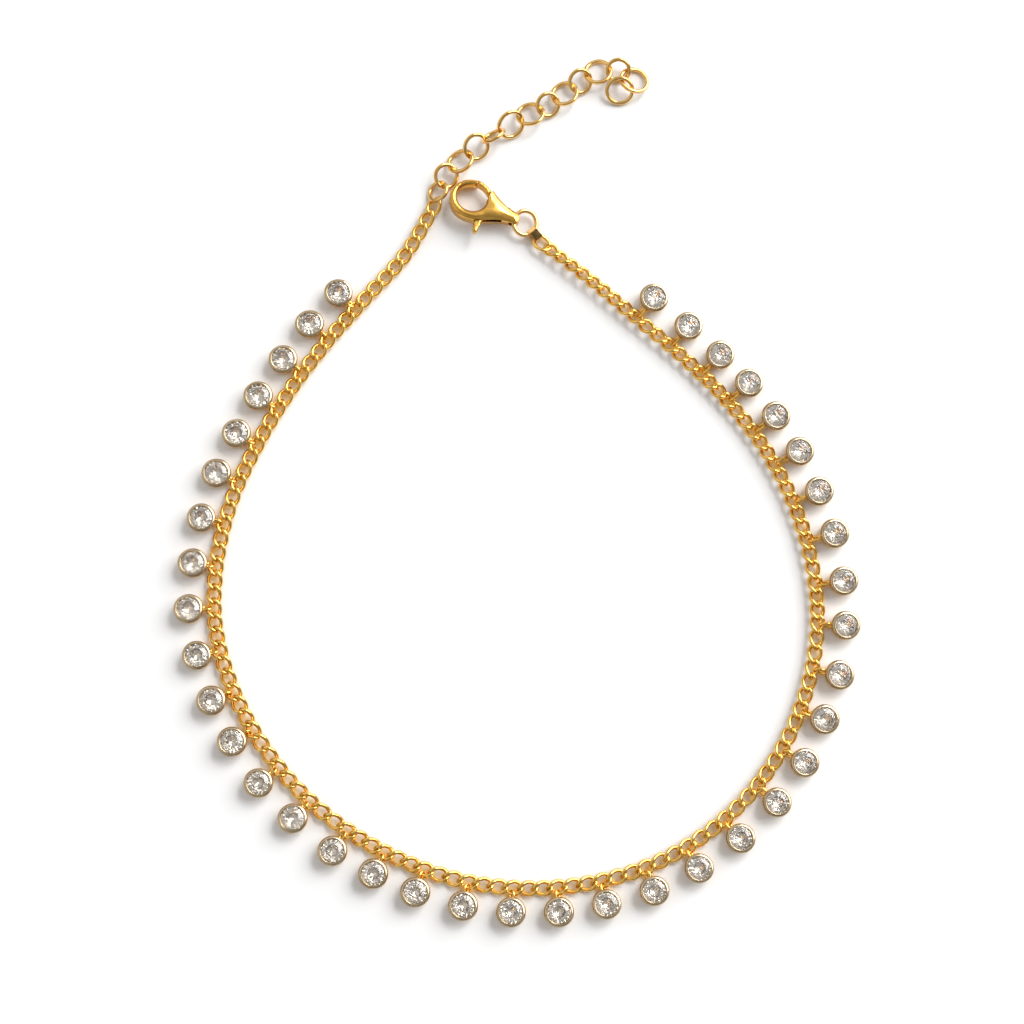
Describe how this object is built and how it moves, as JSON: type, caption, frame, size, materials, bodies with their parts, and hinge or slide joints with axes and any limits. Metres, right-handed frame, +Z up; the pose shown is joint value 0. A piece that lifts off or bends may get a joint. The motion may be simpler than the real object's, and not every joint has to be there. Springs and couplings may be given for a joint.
{
  "type": "charm anklet",
  "caption": "Curb-chain anklet with round bezel-set stone charms along its outer side, a sprung lobster clasp and a ring extender, lying closed on a flat surface.",
  "frame": {"origin": "middle of the bounding box on the surface that the anklet lies on", "axes": "+Z up from the surface, +Y towards the clasp and extender, +X to the right of a viewer who stands at the loop's round end"},
  "size_m": [0.078, 0.101, 0.0028],
  "materials": {
    "gold": "polished yellow gold plate",
    "pale_gold": "polished pale gold bezel",
    "dull_gold": "matte gold at the soldered end link"
  },
  "bodies": {
    "root": {"chain": "gold", "charm_01": "pale_gold", "charm_02": "pale_gold", "charm_03": "pale_gold", "charm_04": "pale_gold", "charm_05": "pale_gold", "charm_06": "pale_gold", "charm_07": "pale_gold", "charm_08": "pale_gold", "charm_09": "pale_gold", "charm_10": "pale_gold", "charm_11": "pale_gold", "charm_12": "pale_gold", "charm_13": "pale_gold", "charm_14": "pale_gold", "charm_15": "pale_gold", "charm_16": "pale_gold", "charm_17": "pale_gold", "charm_18": "pale_gold", "charm_19": "pale_gold", "charm_20": "pale_gold", "charm_21": "pale_gold", "charm_22": "pale_gold", "charm_23": "pale_gold", "charm_24": "pale_gold", "charm_25": "pale_gold", "charm_26": "pale_gold", "charm_27": "pale_gold", "charm_28": "pale_gold", "charm_29": "pale_gold", "charm_30": "pale_gold", "charm_31": "pale_gold", "charm_32": "pale_gold", "charm_33": "pale_gold", "charm_34": "pale_gold", "charm_35": "pale_gold", "charm_36": "pale_gold", "charm_37": "pale_gold", "charm_38": "pale_gold", "ext_ring_01": "gold", "ext_ring_02": "gold", "ext_ring_03": "gold", "ext_ring_04": "gold", "ext_ring_05": "gold", "ext_ring_06": "gold", "ext_ring_07": "gold", "ext_ring_08": "gold", "ext_ring_09": "gold", "ext_ring_10": "gold", "ext_ring_11": "gold", "ext_ring_12": "gold", "ext_ring_13": "gold", "ext_ring_14": "gold", "clasp_body": "gold", "clasp_ring": "gold", "end_link": "dull_gold"},
    "clasp_lever": {"clasp_lever": "gold"}
  },
  "joints": [
    {"name": "clasp_lever_pivot", "type": "hinge", "parent": "root", "child": "clasp_lever", "pos_m": [-0.0029, 0.03227, 0.00121], "axis": [0.061, 0.1251, 0.9903], "range_deg": [0, 25], "stiffness_Nm_per_rad": 0.003, "springref_deg": -20.05}
  ]
}
